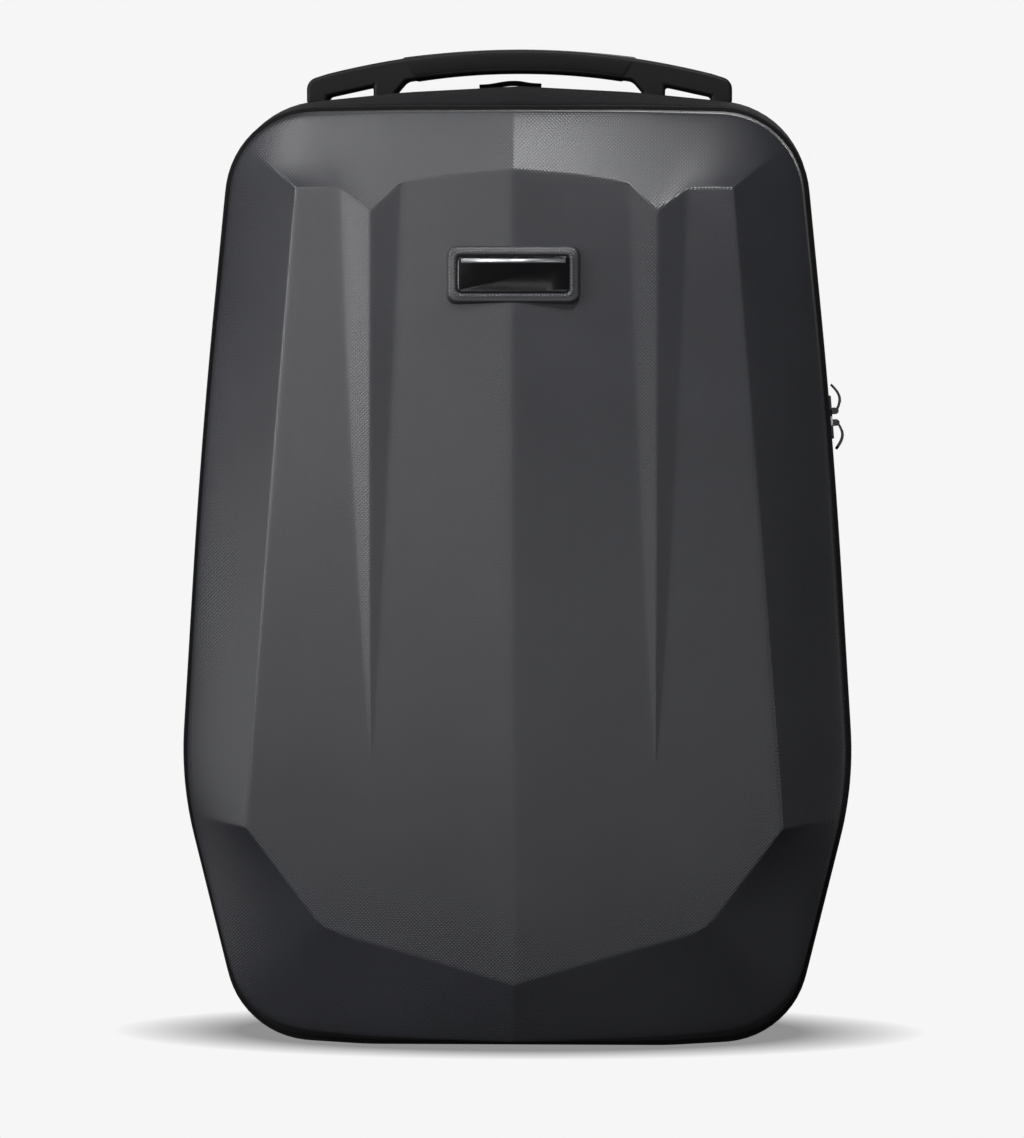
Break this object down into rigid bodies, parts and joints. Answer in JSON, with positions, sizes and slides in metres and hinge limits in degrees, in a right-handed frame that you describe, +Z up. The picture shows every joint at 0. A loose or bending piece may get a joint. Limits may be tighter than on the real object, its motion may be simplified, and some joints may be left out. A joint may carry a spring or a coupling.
{
  "type": "hard shell backpack",
  "caption": "Backpack with a faceted moulded front shell, a zip round its rim, a fabric gusset, a rigid arched top handle and padded shoulder straps behind.",
  "frame": {"origin": "on the ground, under the middle of the whole bag", "axes": "+Z up, -Y out of the hard front shell, +X to the right of someone who looks at the shell"},
  "size_m": [0.3204, 0.205, 0.4766],
  "materials": {
    "shell": "satin charcoal moulding with a fine diagonal weave grain",
    "plate": "glossy black",
    "binding": "woven black edge tape",
    "zip_tape": "herringbone woven black tape",
    "zip_teeth": "dark coil teeth",
    "gusset": "dense black polyester weave",
    "padding": "black spacer mesh over foam",
    "webbing": "ribbed black polyester webbing",
    "handle": "fine grained black moulding",
    "grip": "soft black rubber",
    "buckle": "moulded black acetal",
    "metal": "gunmetal plated zinc"
  },
  "bodies": {
    "bag": {"front_shell": "shell", "badge_plate": "plate", "front_binding": "binding", "zip_tape": "zip_tape", "zip_chain": "zip_teeth", "gusset_piping": "binding", "gusset": "gusset", "back_binding": "binding", "back_panel": "padding", "carry_handle": "handle", "handle_grip": "grip", "hang_loop": "webbing", "slider_upper": "metal", "slider_lower": "metal", "strap_left": "padding", "strap_right": "padding", "buckle_left": "buckle", "buckle_right": "buckle", "webbing_left": "webbing", "webbing_right": "webbing", "tab_left": "webbing", "tab_right": "webbing"},
    "upper_tab": {"pull_upper": "metal"},
    "lower_tab": {"pull_lower": "metal"}
  },
  "joints": [
    {"name": "upper_pull_hinge", "type": "hinge", "parent": "bag", "child": "upper_tab", "pos_m": [0.1515, -0.01388, 0.30402], "axis": [0, 1, 0], "range_deg": [0, 78]},
    {"name": "lower_pull_hinge", "type": "hinge", "parent": "bag", "child": "lower_tab", "pos_m": [0.15196, -0.01388, 0.29844], "axis": [0, -1, 0], "range_deg": [0, 78]}
  ]
}
